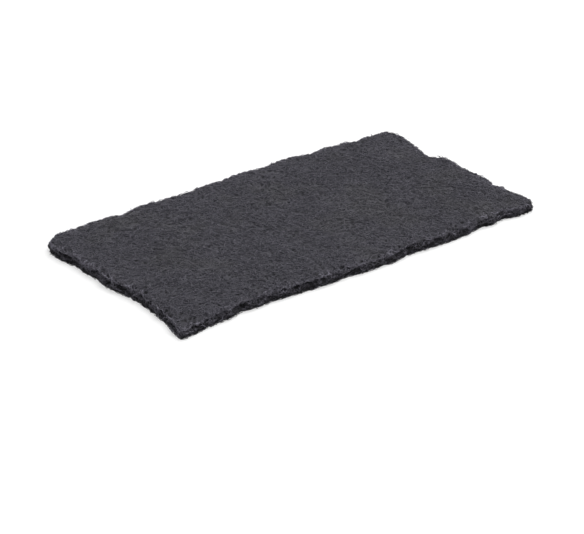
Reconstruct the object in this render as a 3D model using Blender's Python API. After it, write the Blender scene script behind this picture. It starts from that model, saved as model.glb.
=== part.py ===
"""A non-woven abrasive strip: one springy web of coated fibre, cut to size.

The strip is a single piece. It lies flat on its underside, with its length along X, its width
along Y and its working face up. All lengths are in metres. The origin is under the middle of
the strip, on the surface that it lies on.
"""

import math
from typing import NamedTuple

import bmesh
import bpy
from mathutils import Vector, noise

# Cut size of the strip, from tip to tip, and its height at the crest of the highest swell
LENGTH = 0.230
WIDTH = 0.1255
THICKNESS = 0.0073

# Corners, as the cutter and later handling left them
FRONT_LEFT_RADIUS = 0.003
FRONT_RIGHT_RADIUS = 0.006
BACK_RIGHT_RADIUS = 0.012
BACK_LEFT_RADIUS = 0.013

# Cut edges: the web lies in ragged furrows along the edge
FURROW_DEPTH = 0.0010
FURROW_LENGTH = 0.0080
FURROW_HEIGHT = 0.0017

# The rim stands out over the cut edge, which draws back below it and again at its foot
UNDERCUT_DEPTH = 0.0015
UNDERCUT_PLACE = 0.24
UNDERCUT_REACH = 0.15
FOOT_DRAW = 0.0009

# Wander of each edge between its scallops, and the small nibbles that the cutter left in it
WANDER_DEPTH = 0.0006
WANDER_LENGTH = 0.017
NIBBLE_DEPTH = 0.0006
NIBBLE_LENGTH = 0.0068

# The working face sinks towards the cut edges, where the cutter pressed the web together
RIM_DROP = 0.0006
RIM_REACH = 0.0038

# Soft swells and lumps of the working face
SWELL_DEPTH = 0.0007
SWELL_LENGTH = 0.034
LUMP_DEPTH = 0.00035
LUMP_LENGTH = 0.0085

# Three of the corners are pressed thin by handling
FRONT_LEFT_DROP = 0.0016
FRONT_RIGHT_DROP = 0.0012
BACK_LEFT_DROP = 0.0014
BACK_RIGHT_DROP = 0.0
THIN_CORNER_REACH = 0.016

# How far into the strip an edge's shape is felt, as a power of the share of the way out
EDGE_SHAPE_POWER = 3

# Fineness of the mesh
CELLS_LONG = 74
CELLS_WIDE = 42
EDGE_COURSES = 8

# Separate places in the noise, so that no two effects repeat each other
SWELL_SEED = Vector((11.3, 4.7, 2.9))
LUMP_SEED = Vector((3.1, 17.9, 8.3))
FURROW_SEED = Vector((23.7, 6.1, 14.5))

# Dark slate grey web, in linear colour
WEB_COLOUR = (0.058, 0.056, 0.066, 1.0)
WEB_ROUGHNESS = 0.95


class Scallop(NamedTuple):
    """A shallow hollow in a cut edge.

    The share is its place, from -1 at one end of the edge to 1 at the other. The depth and the
    reach, which is half its width, are in metres.
    """

    share: float
    depth: float
    reach: float


class CutEdge(NamedTuple):
    """One of the four cut edges: its hollows, and its own place in the noise."""

    scallops: tuple[Scallop, ...]
    noise_row: float


FRONT_EDGE = CutEdge(
    scallops=(
        Scallop(share=-0.82, depth=0.0025, reach=0.0145),
        Scallop(share=-0.66, depth=0.0021, reach=0.0055),
        Scallop(share=-0.52, depth=0.0041, reach=0.0220),
        Scallop(share=-0.25, depth=0.0012, reach=0.0220),
        Scallop(share=-0.12, depth=0.0015, reach=0.0055),
        Scallop(share=0.25, depth=0.0016, reach=0.0090),
        Scallop(share=0.65, depth=0.0019, reach=0.0075),
        Scallop(share=0.80, depth=0.0027, reach=0.0065),
    ),
    noise_row=1.3,
)
BACK_EDGE = CutEdge(
    scallops=(
        Scallop(share=-0.80, depth=0.0020, reach=0.0200),
        Scallop(share=-0.58, depth=0.0032, reach=0.0070),
        Scallop(share=-0.28, depth=0.0026, reach=0.0240),
        Scallop(share=0.00, depth=0.0019, reach=0.0065),
        Scallop(share=0.23, depth=0.0019, reach=0.0080),
        Scallop(share=0.52, depth=0.0036, reach=0.0090),
        Scallop(share=0.66, depth=0.0028, reach=0.0060),
        Scallop(share=0.77, depth=0.0034, reach=0.0055),
        Scallop(share=0.88, depth=0.0042, reach=0.0185),
    ),
    noise_row=7.9,
)
LEFT_EDGE = CutEdge(
    scallops=(
        Scallop(share=-0.63, depth=0.0039, reach=0.0160),
        Scallop(share=-0.30, depth=0.0047, reach=0.0135),
        Scallop(share=-0.10, depth=0.0021, reach=0.0075),
        Scallop(share=0.21, depth=0.0028, reach=0.0115),
        Scallop(share=0.51, depth=0.0021, reach=0.0080),
    ),
    noise_row=13.1,
)
RIGHT_EDGE = CutEdge(
    scallops=(
        Scallop(share=-0.70, depth=0.0028, reach=0.0065),
        Scallop(share=-0.53, depth=0.0038, reach=0.0035),
        Scallop(share=-0.33, depth=0.0021, reach=0.0150),
        Scallop(share=-0.09, depth=0.0022, reach=0.0070),
        Scallop(share=0.25, depth=0.0049, reach=0.0060),
        Scallop(share=0.42, depth=0.0039, reach=0.0125),
    ),
    noise_row=19.7,
)


def lift(value):
    """Turn noise from about -1 to 1 into a share from about 0 to 1."""
    return 0.5 + 0.5 * value


def edge_hollow(edge, along, half_edge):
    """Return how far an edge lies inside the strip's full size, at a place along it."""
    depth = 0.0
    for scallop in edge.scallops:
        away = (along - scallop.share * half_edge) / scallop.reach
        depth += scallop.depth * math.exp(-(away**2))
    wander = noise.noise(Vector((along / WANDER_LENGTH, edge.noise_row, 0.0)))
    nibble = noise.noise(Vector((along / NIBBLE_LENGTH, 0.0, edge.noise_row)))
    return depth + WANDER_DEPTH * lift(wander) + NIBBLE_DEPTH * lift(nibble)


def corner_radius(x, y):
    """Return the radius of the corner nearest to a point of the plan."""
    if y < 0.0:
        return FRONT_LEFT_RADIUS if x < 0.0 else FRONT_RIGHT_RADIUS
    return BACK_LEFT_RADIUS if x < 0.0 else BACK_RIGHT_RADIUS


def corner_drop(x, y):
    """Return how far the face is pressed down at the corner nearest to a point of the plan."""
    if y < 0.0:
        return FRONT_LEFT_DROP if x < 0.0 else FRONT_RIGHT_DROP
    return BACK_LEFT_DROP if x < 0.0 else BACK_RIGHT_DROP


def rounded(x, y, half_length, half_width):
    """Move a point of the full rectangle into the same rectangle with round corners."""
    radius = corner_radius(x, y)
    over_x = (abs(x) - (half_length - radius)) / radius
    over_y = (abs(y) - (half_width - radius)) / radius
    if over_x <= 0.0 or over_y <= 0.0:
        return x, y
    arc_x = over_x * math.sqrt(1.0 - over_y * over_y / 2.0)
    arc_y = over_y * math.sqrt(1.0 - over_x * over_x / 2.0)
    return (
        math.copysign(half_length - radius + arc_x * radius, x),
        math.copysign(half_width - radius + arc_y * radius, y),
    )


def plan_point(across_length, across_width):
    """Return the plan position for shares from -1 to 1 of the way out to each edge."""
    half_length = LENGTH / 2.0
    half_width = WIDTH / 2.0
    x, y = rounded(across_length * half_length, across_width * half_width, half_length, half_width)
    long_edge = FRONT_EDGE if across_width < 0.0 else BACK_EDGE
    short_edge = LEFT_EDGE if across_length < 0.0 else RIGHT_EDGE
    long_hollow = edge_hollow(long_edge, x, half_length)
    short_hollow = edge_hollow(short_edge, y, half_width)
    share_x = abs(x) / half_length
    share_y = abs(y) / half_width
    return (
        math.copysign(abs(x) - short_hollow * share_x**EDGE_SHAPE_POWER, x),
        math.copysign(abs(y) - long_hollow * share_y**EDGE_SHAPE_POWER, y),
    )


def rim_sink(across_length, across_width):
    """Return how far the face sinks near the cut edges."""
    from_end = (1.0 - abs(across_length)) * LENGTH / 2.0
    from_side = (1.0 - abs(across_width)) * WIDTH / 2.0
    near_end = math.exp(-((from_end / RIM_REACH) ** 2))
    near_side = math.exp(-((from_side / RIM_REACH) ** 2))
    return RIM_DROP * (1.0 - (1.0 - near_end) * (1.0 - near_side))


def face_height(x, y, across_length, across_width):
    """Return the height of the working face above the underside."""
    place = Vector((x, y, 0.0))
    swell = SWELL_DEPTH * lift(noise.noise(place / SWELL_LENGTH + SWELL_SEED))
    lump = LUMP_DEPTH * lift(noise.noise(place / LUMP_LENGTH + LUMP_SEED))
    from_corner = math.hypot(LENGTH / 2.0 - abs(x), WIDTH / 2.0 - abs(y))
    thin = corner_drop(x, y) * math.exp(-((from_corner / THIN_CORNER_REACH) ** 2))
    return THICKNESS - swell - lump - thin - rim_sink(across_length, across_width)


def add_face(mesh):
    """Add the working face as a grid, and bend it to its outline and its heights."""
    grid = bmesh.ops.create_grid(mesh, x_segments=CELLS_LONG, y_segments=CELLS_WIDE, size=1.0)
    for vertex in grid["verts"]:
        across_length, across_width = vertex.co.x, vertex.co.y
        x, y = plan_point(across_length, across_width)
        vertex.co = Vector((x, y, face_height(x, y, across_length, across_width)))


def outward_directions(edges):
    """Return the level direction that leads outward from each vertex of the rim."""
    directions = {}
    for edge in edges:
        face = edge.link_faces[0]
        first, second = edge.verts
        run = second.co - first.co
        out = Vector((run.y, -run.x, 0.0)).normalized()
        if out.dot(face.calc_center_median() - first.co) > 0.0:
            out.negate()
        for vertex in edge.verts:
            directions[vertex] = directions.get(vertex, Vector()) + out
    return {vertex: out.normalized() for vertex, out in directions.items()}


def edge_outset(rim, height, share_down):
    """Return how far the cut edge stands out past the face's rim, between the two faces."""
    place = Vector((rim.x / FURROW_LENGTH, rim.y / FURROW_LENGTH, height / FURROW_HEIGHT))
    furrow = FURROW_DEPTH * noise.noise(place + FURROW_SEED)
    wander = lift(noise.noise(Vector((rim.x, rim.y, 0.0)) / WANDER_LENGTH + FURROW_SEED))
    undercut = UNDERCUT_DEPTH * math.exp(-(((share_down - UNDERCUT_PLACE) / UNDERCUT_REACH) ** 2))
    foot = FOOT_DRAW * share_down**3
    return furrow * math.sin(math.pi * share_down) - undercut * (0.5 + wander) - foot


def vertex_above(vertex, course_above):
    """Return the vertex of the course above that a new vertex was drawn down from."""
    for edge in vertex.link_edges:
        other = edge.other_vert(vertex)
        if other in course_above:
            return other
    return None


def add_cut_edge(mesh):
    """Draw the rim down to the underside in courses, and close the underside flat."""
    loop = [edge for edge in mesh.edges if edge.is_boundary]
    rims = {vertex: (vertex.co.copy(), out) for vertex, out in outward_directions(loop).items()}
    for course in range(1, EDGE_COURSES + 1):
        share_down = course / EDGE_COURSES
        drawn = bmesh.ops.extrude_edge_only(mesh, edges=loop)["geom"]
        loop = [item for item in drawn if isinstance(item, bmesh.types.BMEdge)]
        next_rims = {}
        for vertex in (item for item in drawn if isinstance(item, bmesh.types.BMVert)):
            rim, out = rims[vertex_above(vertex, rims)]
            height = rim.z * (1.0 - share_down)
            level = rim + out * edge_outset(rim, height, share_down)
            vertex.co = Vector((level.x, level.y, height))
            next_rims[vertex] = (rim, out)
        rims = next_rims
    bmesh.ops.contextual_create(mesh, geom=loop)


def centre_over_origin(mesh):
    """Move the strip so that its overall box stands centred over the origin."""
    xs = [vertex.co.x for vertex in mesh.verts]
    ys = [vertex.co.y for vertex in mesh.verts]
    middle = Vector(((min(xs) + max(xs)) / 2.0, (min(ys) + max(ys)) / 2.0, 0.0))
    bmesh.ops.translate(mesh, verts=mesh.verts, vec=-middle)


def web_material():
    """Return the dark, dull finish of the coated web."""
    material = bpy.data.materials.new("slate_grey_web")
    material.use_nodes = True
    shader = material.node_tree.nodes["Principled BSDF"]
    shader.inputs["Base Color"].default_value = WEB_COLOUR
    shader.inputs["Roughness"].default_value = WEB_ROUGHNESS
    shader.inputs["Metallic"].default_value = 0.0
    return material


def make_strip():
    """Build the strip as one closed solid and link it to the scene."""
    mesh = bmesh.new()
    add_face(mesh)
    add_cut_edge(mesh)
    centre_over_origin(mesh)
    bmesh.ops.recalc_face_normals(mesh, faces=mesh.faces)
    bmesh.ops.triangulate(mesh, faces=mesh.faces)
    data = bpy.data.meshes.new("abrasive_strip")
    mesh.to_mesh(data)
    mesh.free()
    data.materials.append(web_material())
    data.shade_smooth()
    strip = bpy.data.objects.new("abrasive_strip", data)
    bpy.context.collection.objects.link(strip)
    return strip


def main():
    """Clear the scene and build the strip."""
    for item in list(bpy.data.objects):
        bpy.data.objects.remove(item)
    make_strip()


main()
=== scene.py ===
"""Dresses the non-woven abrasive strip: its matted web, its coated fibres and their finishes.

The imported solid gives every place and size, and the web and its fibres are laid on that solid's
skin. All lengths are in metres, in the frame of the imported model: the strip lies on its underside
at height zero, with its length along X, its width along Y and its working face up.
"""

import logging
import math
from dataclasses import dataclass, field, replace
from enum import Enum

import bpy
import numpy as np
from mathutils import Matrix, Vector, noise
from mathutils.bvhtree import BVHTree
from mathutils.kdtree import KDTree


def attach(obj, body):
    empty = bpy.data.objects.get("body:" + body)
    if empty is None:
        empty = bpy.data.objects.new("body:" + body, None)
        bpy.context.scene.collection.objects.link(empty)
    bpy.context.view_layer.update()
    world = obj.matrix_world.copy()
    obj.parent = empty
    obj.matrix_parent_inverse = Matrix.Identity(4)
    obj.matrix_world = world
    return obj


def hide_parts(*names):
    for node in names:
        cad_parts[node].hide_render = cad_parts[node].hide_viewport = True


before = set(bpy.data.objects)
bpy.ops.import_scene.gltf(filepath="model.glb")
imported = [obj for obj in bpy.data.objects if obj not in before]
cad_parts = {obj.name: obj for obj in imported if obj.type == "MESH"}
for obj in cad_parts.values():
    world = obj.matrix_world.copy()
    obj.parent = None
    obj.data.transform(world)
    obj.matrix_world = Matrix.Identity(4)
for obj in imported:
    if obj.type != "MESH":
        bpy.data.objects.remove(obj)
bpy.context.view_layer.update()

# The strip in the imported model, and the body that its pieces ride on
NODE = "abrasive_strip"
BODY = "root"

# What the meshes hold for their finishes
BAKE_MAP = "OFBake"
TONE = "tone"
# How much shade is painted inside the web
HOLLOW_SHADE = "hollow_and_painted_shade"

# The least length that anything is divided by
SHORTEST = 1e-12

LOG = logging.getLogger("abrasive_strip")

Colour = tuple[float, float, float, float]
Socket = bpy.types.NodeSocket


class Zone(Enum):
    """A part of the strip's skin; the rim is the line between the working face and the cut edge."""

    FACE = 0
    EDGE = 1
    UNDERSIDE = 2
    RIM = 3


class SocketKind(Enum):
    """What a socket of an effect carries."""

    COLOUR = "NodeSocketColor"
    NUMBER = "NodeSocketFloat"


@dataclass(frozen=True)
class Span:
    """A range that a measure is drawn from."""

    low: float
    high: float

    def draw(self, rng: np.random.Generator, shape: int | tuple[int, ...]) -> np.ndarray:
        """Draw an array of this shape, with its values evenly spread over the range."""
        return rng.uniform(self.low, self.high, shape)


@dataclass(frozen=True)
class Patch:
    """A place on the rim, and how far about it a patch of fibres reaches."""

    x: float
    y: float
    reach: float


@dataclass(frozen=True)
class Waves:
    """Smooth random waves over the web: their length over the plan, their height and their depth."""

    length: float
    height: float
    depth: float
    seed: float

    def at(self, places: np.ndarray) -> np.ndarray:
        """Return the swing of the waves at some places.

        Args:
            places: Rows of X, Y and Z.

        Returns:
            One value for each place, from about minus the depth to the depth.
        """
        scale = np.array([self.length, self.length, self.height])
        shifted = (places / scale + self.seed).tolist()
        return self.depth * np.array([noise.noise(Vector(place)) for place in shifted])


LUMPS = Waves(length=0.0022, height=0.0022, depth=0.00028, seed=0.3)
FINE_LUMPS = Waves(length=0.0009, height=0.0009, depth=0.00020, seed=5.7)
FURROWS = Waves(length=0.0055, height=0.0013, depth=0.0015, seed=2.2)
NIBBLES = Waves(length=0.0045, height=1.0, depth=0.0007, seed=9.1)
FINE_NIBBLES = Waves(length=0.0018, height=1.0, depth=0.0003, seed=4.4)
FRAY = Waves(length=0.0030, height=1.0, depth=0.0016, seed=3.9)
WANDER_LONG = Waves(length=0.0012, height=1.0, depth=0.0009, seed=6.6)
WANDER_WIDE = Waves(length=0.0012, height=1.0, depth=0.0009, seed=8.3)


def unit(vectors: np.ndarray) -> np.ndarray:
    """Return vectors, which lie along the last axis, at length one."""
    return vectors / np.maximum(np.linalg.norm(vectors, axis=-1, keepdims=True), SHORTEST)


def outward(ring: np.ndarray) -> np.ndarray:
    """Return the level direction that leads outward from each point of a closed outline."""
    ahead = np.roll(ring, -1, axis=0)[:, :2] - np.roll(ring, 1, axis=0)[:, :2]
    return unit(np.column_stack([ahead[:, 1], -ahead[:, 0]]))


def laid_flat(plan: np.ndarray) -> np.ndarray:
    """Return rows of X and Y with a height of zero beside them."""
    return np.column_stack([plan, np.zeros(len(plan))])


def fading(away: np.ndarray, reach: float) -> np.ndarray:
    """Return shares that are 1 at no distance and fade smoothly over the reach."""
    return np.exp(-((away / reach) ** 2))


def bowed(start: np.ndarray, middle: np.ndarray, end: np.ndarray, share: float) -> np.ndarray:
    """Return where smooth bows through their starts, middles and ends are at a share of their run."""
    bow = start * (1 - share) * (1 - 2 * share) + 4 * middle * share * (1 - share)
    return bow + end * share * (2 * share - 1)


def corners_of(points: np.ndarray, facets: np.ndarray) -> list[np.ndarray]:
    """Return the first, the second and the third corner of each facet."""
    return [points[facets[:, k]] for k in range(3)]


def point_tree(points: np.ndarray) -> KDTree:
    """Sort points for quick searches.

    Args:
        points: Rows of X, Y and Z.

    Returns:
        A tree of the points, under the numbers of their rows.
    """
    tree = KDTree(len(points))
    for number, point in enumerate(points.tolist()):
        tree.insert(point, number)
    tree.balance()
    return tree


def nearest_points(points: np.ndarray, places: np.ndarray) -> tuple[np.ndarray, np.ndarray]:
    """Find the nearest point to each place.

    Args:
        points: Rows of X, Y and Z.
        places: Rows of X, Y and Z.

    Returns:
        The number of each place's nearest point, and its distance.
    """
    tree = point_tree(points)
    hits = [tree.find(place) for place in places.tolist()]
    return np.array([hit[1] for hit in hits]), np.array([hit[2] for hit in hits])


@dataclass
class Skin:
    """A closed surface of the strip, made of facets that are sorted into zones.

    Its rim gets painted light, which fades over its reach and is stronger where the rim faces left.
    """

    points: np.ndarray
    facets: np.ndarray
    zone_of: np.ndarray
    rim_loop: np.ndarray
    # How far the rim's painted light reaches, and how much more there is where the rim faces left
    painted_light_reach: float = 0.0045
    left_painted_light: float = 1.5
    areas: np.ndarray = field(init=False)
    point_normals: np.ndarray = field(init=False)
    tree: BVHTree = field(init=False)

    def __post_init__(self) -> None:
        """Work out the areas and normals, and prepare the surface for searches."""
        first, second, third = corners_of(self.points, self.facets)
        cross = np.cross(second - first, third - first)
        self.areas = np.linalg.norm(cross, axis=1) / 2.0
        summed = np.zeros_like(self.points)
        for k in range(3):
            np.add.at(summed, self.facets[:, k], cross)
        self.point_normals = unit(summed)
        self.tree = BVHTree.FromPolygons(self.points.tolist(), self.facets.tolist())

    def scatter(
        self, zone: Zone, count: int, rng: np.random.Generator, near: Patch | None = None
    ) -> tuple[np.ndarray, np.ndarray]:
        """Scatter places evenly over a zone.

        Args:
            zone: The part of the skin that the places lie on.
            count: How many places.
            rng: The source of chance.
            near: The patch of the rim that they gather in, or nothing for the whole zone.

        Returns:
            The places and the skin's normals there.
        """
        if zone is Zone.RIM:
            return self.scatter_on_rim(count, rng, near)
        choices = np.flatnonzero(self.zone_of == zone.value)
        weights = self.areas[choices] / self.areas[choices].sum()
        picked = rng.choice(choices, size=count, p=weights)
        root = np.sqrt(rng.random(count))[:, None]
        other = rng.random(count)[:, None]
        first, second, third = corners_of(self.points, self.facets[picked])
        places = first * (1.0 - root) + second * root * (1.0 - other) + third * root * other
        return places, self.normals_at(places, picked)

    def scatter_on_rim(
        self, count: int, rng: np.random.Generator, near: Patch | None = None
    ) -> tuple[np.ndarray, np.ndarray]:
        """Scatter places along the rim.

        Args:
            count: How many places.
            rng: The source of chance.
            near: The patch that they gather in, or nothing for the whole rim.

        Returns:
            The places and the skin's normals there.
        """
        ends = np.roll(self.rim_loop, -1, axis=0)
        steps = np.linalg.norm(ends - self.rim_loop, axis=1)
        if near is not None:
            away = np.linalg.norm(self.rim_loop[:, :2] - np.array([near.x, near.y]), axis=1)
            steps *= fading(away, near.reach)
        picked = rng.choice(len(steps), size=count, p=steps / steps.sum())
        share = rng.random(count)[:, None]
        return self.nearest(self.rim_loop[picked] * (1.0 - share) + ends[picked] * share)

    def normals_at(self, places: np.ndarray, facets: np.ndarray) -> np.ndarray:
        """Work out the smooth normals of the skin at some places.

        Args:
            places: Places on the skin, one to a row.
            facets: The number of the facet that each lies on.

        Returns:
            One normal for each place.
        """
        first, second, third = corners_of(self.points, self.facets[facets])
        along, across, out = second - first, third - first, places - first
        long, skew, wide = (along * along).sum(1), (along * across).sum(1), (across * across).sum(1)
        out_along, out_across = (out * along).sum(1), (out * across).sum(1)
        scale = np.maximum(long * wide - skew * skew, SHORTEST**2)
        share_second = np.clip((wide * out_along - skew * out_across) / scale, 0.0, 1.0)
        share_third = np.clip((long * out_across - skew * out_along) / scale, 0.0, 1.0)
        share_first = np.clip(1.0 - share_second - share_third, 0.0, 1.0)
        corners = self.point_normals[self.facets[facets]]
        shares = np.stack([share_first, share_second, share_third], axis=1)
        return unit((corners * shares[..., None]).sum(1))

    def nearest(self, places: np.ndarray) -> tuple[np.ndarray, np.ndarray]:
        """Bring places to the skin.

        Args:
            places: Places near the skin, one to a row.

        Returns:
            The nearest places on the skin, and its normals there.
        """
        hits = [self.tree.find_nearest(place) for place in places.tolist()]
        found = np.array([tuple(hit[0]) for hit in hits])
        facets = np.array([hit[2] for hit in hits])
        return found, self.normals_at(found, facets)

    def painted_rim_light_at(self, places: np.ndarray) -> np.ndarray:
        """Work out how much painted light some places get from the rim.

        Args:
            places: Places near the skin, one to a row.

        Returns:
            One value for each: it grows to 1 at the rim, and to more where the rim faces left.
        """
        numbers, away = nearest_points(self.rim_loop, places)
        leftness = np.maximum(-outward(self.rim_loop)[numbers, 0], 0.0)
        return fading(away, self.painted_light_reach) * (1.0 + self.left_painted_light * leftness)

    def height(self, x: float, y: float) -> float:
        """Return the working face's height over a place of the plan, or zero beside the strip."""
        hit = self.tree.ray_cast(Vector((x, y, 1.0)), Vector((0.0, 0.0, -1.0)))
        return hit[0].z if hit[0] is not None else 0.0


@dataclass
class SolidReader:
    """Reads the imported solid's mesh, and finds its working face and the rim of that face."""

    node: bpy.types.Object
    level_limit: float = 0.8
    ground_limit: float = 1e-6
    digits: int = 7

    def read(self) -> Skin:
        """Read the solid.

        Returns:
            The solid's skin, with its facets sorted into zones.
        """
        mesh = self.node.data
        mesh.calc_loop_triangles()
        loose = np.zeros(len(mesh.vertices) * 3)
        mesh.vertices.foreach_get("co", loose)
        corners = np.zeros(len(mesh.loop_triangles) * 3, dtype=np.int32)
        mesh.loop_triangles.foreach_get("vertices", corners)
        rounded = np.round(loose.reshape(-1, 3), self.digits)
        points, shared = np.unique(rounded, axis=0, return_inverse=True)
        facets = shared.reshape(-1)[corners.reshape(-1, 3)]
        first, second, third = corners_of(points, facets)
        upright = unit(np.cross(second - first, third - first))[:, 2]
        face = self.joined(facets, np.flatnonzero(upright > self.level_limit))
        zones = np.full(len(facets), Zone.EDGE.value)
        zones[(points[facets][:, :, 2] < self.ground_limit).all(axis=1)] = Zone.UNDERSIDE.value
        zones[face] = Zone.FACE.value
        return Skin(points, facets, zones, points[self.border(facets[face])])

    @staticmethod
    def joined(facets: np.ndarray, chosen: np.ndarray) -> np.ndarray:
        """Find the largest group of the chosen facets that hang together.

        Args:
            facets: The corners of every facet, as point numbers.
            chosen: The numbers of the facets to look at.

        Returns:
            The numbers of the facets in the group.
        """
        group = {number: number for number in chosen.tolist()}

        def head(number: int) -> int:
            """Find the number that stands for a facet's group.

            Args:
                number: The facet's number.

            Returns:
                The number of the facet that its group is known by.
            """
            while group[number] != number:
                group[number] = group[group[number]]
                number = group[number]
            return number

        sides: dict[tuple[int, int], int] = {}
        for number in chosen.tolist():
            corners = facets[number].tolist()
            for first, second in zip(corners, corners[1:] + corners[:1]):
                other = sides.setdefault((min(first, second), max(first, second)), number)
                group[head(number)] = head(other)
        heads = np.array([head(number) for number in chosen.tolist()])
        values, uses = np.unique(heads, return_counts=True)
        return chosen[heads == values[np.argmax(uses)]]

    @staticmethod
    def border(facets: np.ndarray) -> list[int]:
        """Walk round the border of some facets.

        Args:
            facets: Their corners, as point numbers.

        Returns:
            The numbers of the border's points, seen from above anticlockwise.
        """
        edges = np.concatenate([facets[:, [0, 1]], facets[:, [1, 2]], facets[:, [2, 0]]])
        _, index, uses = np.unique(np.sort(edges, axis=1), axis=0, return_index=True, return_counts=True)
        following = {int(start): int(end) for start, end in edges[index[uses == 1]]}
        walk = [min(following)]
        while following[walk[-1]] != walk[0]:
            walk.append(following[walk[-1]])
        return walk


@dataclass
class OpenSpots:
    """The small spots of the working face where the web stands open and its inside shows, dark with painted
    shade.

    They are the places that rank highest among several times as many, so that they gather in
    patches, and some more lie along the rim. Fibres over a spot are parted towards its border.
    """

    skin: Skin
    count: int = 900
    choice: int = 3
    radius: Span = Span(0.00035, 0.0009)
    gather_length: float = 0.014
    gather_pull: float = 0.9
    rim_count: int = 140
    rim_reach: Span = Span(0.0002, 0.0030)
    parting: float = 0.8
    least_way: float = 1e-6
    seed: int = 7
    places: np.ndarray = field(init=False)
    radii: np.ndarray = field(init=False)

    def __post_init__(self) -> None:
        """Choose the spots, more of them in some patches of the face than in others."""
        rng = np.random.default_rng(self.seed)
        places, _ = self.skin.scatter(Zone.FACE, self.count * self.choice, rng)
        pull = np.array([noise.noise(Vector(place) / self.gather_length) for place in places.tolist()])
        rank = pull * self.gather_pull + rng.random(len(places))
        rim, facing = self.skin.scatter_on_rim(self.rim_count, rng)
        inward = rim[:, :2] - unit(facing[:, :2]) * self.rim_reach.draw(rng, (self.rim_count, 1))
        self.places = np.concatenate([places[np.argsort(-rank)[: self.count], :2], inward])
        self.radii = self.radius.draw(rng, len(self.places))

    def strayed(self, plan: np.ndarray) -> np.ndarray:
        """Return the points of a plan moved a little about, which gives the spots ragged borders."""
        level = laid_flat(plan)
        return plan + np.column_stack([WANDER_LONG.at(level), WANDER_WIDE.at(level)])

    def openness(self, plan: np.ndarray) -> np.ndarray:
        """Work out how deep inside an open spot each point of a plan lies.

        Args:
            plan: Rows of X and Y.

        Returns:
            One value from 0 to 1 for each point.
        """
        tree = point_tree(laid_flat(self.strayed(plan)))
        share = np.zeros(len(plan))
        for place, radius in zip(laid_flat(self.places).tolist(), self.radii.tolist()):
            share[tree.find(place)[1]] = 1.0
            for _, number, away in tree.find_range(place, radius):
                share[number] = max(share[number], 1.0 - (away / radius) ** 2)
        return share

    def around(self, points: np.ndarray) -> tuple[np.ndarray, np.ndarray]:
        """Find the nearest spot to each point.

        Args:
            points: Rows of X, Y and Z.

        Returns:
            The level way to each point from the middle of its nearest spot, and that spot's radius.
        """
        plan = self.strayed(points[:, :2])
        numbers, _ = nearest_points(laid_flat(self.places), laid_flat(plan))
        return plan - self.places[numbers], self.radii[numbers]

    def crowding(self, lines: np.ndarray) -> np.ndarray:
        """Work out how much of each fibre lies inside open spots.

        Args:
            lines: The points along each fibre.

        Returns:
            One sum of depths inside the spots for each fibre.
        """
        middles = (lines[:, 1:] + lines[:, :-1]) / 2.0
        points = np.concatenate([lines, middles], axis=1)
        way, radius = self.around(points.reshape(-1, 3))
        inside = np.maximum(radius - np.linalg.norm(way, axis=1), 0.0)
        return inside.reshape(points.shape[:2]).sum(axis=1)

    def parted(self, lines: np.ndarray) -> np.ndarray:
        """Part the fibres over the open spots.

        Args:
            lines: The points along each fibre.

        Returns:
            The same lines, with the points inside spots moved out towards the spots' borders.
        """
        points = lines.reshape(-1, 3).copy()
        way, radius = self.around(points)
        away = np.maximum(np.linalg.norm(way, axis=1), self.least_way)
        points[:, :2] += way * (self.parting * np.maximum(radius - away, 0.0) / away)[:, None]
        return points.reshape(lines.shape)


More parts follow.
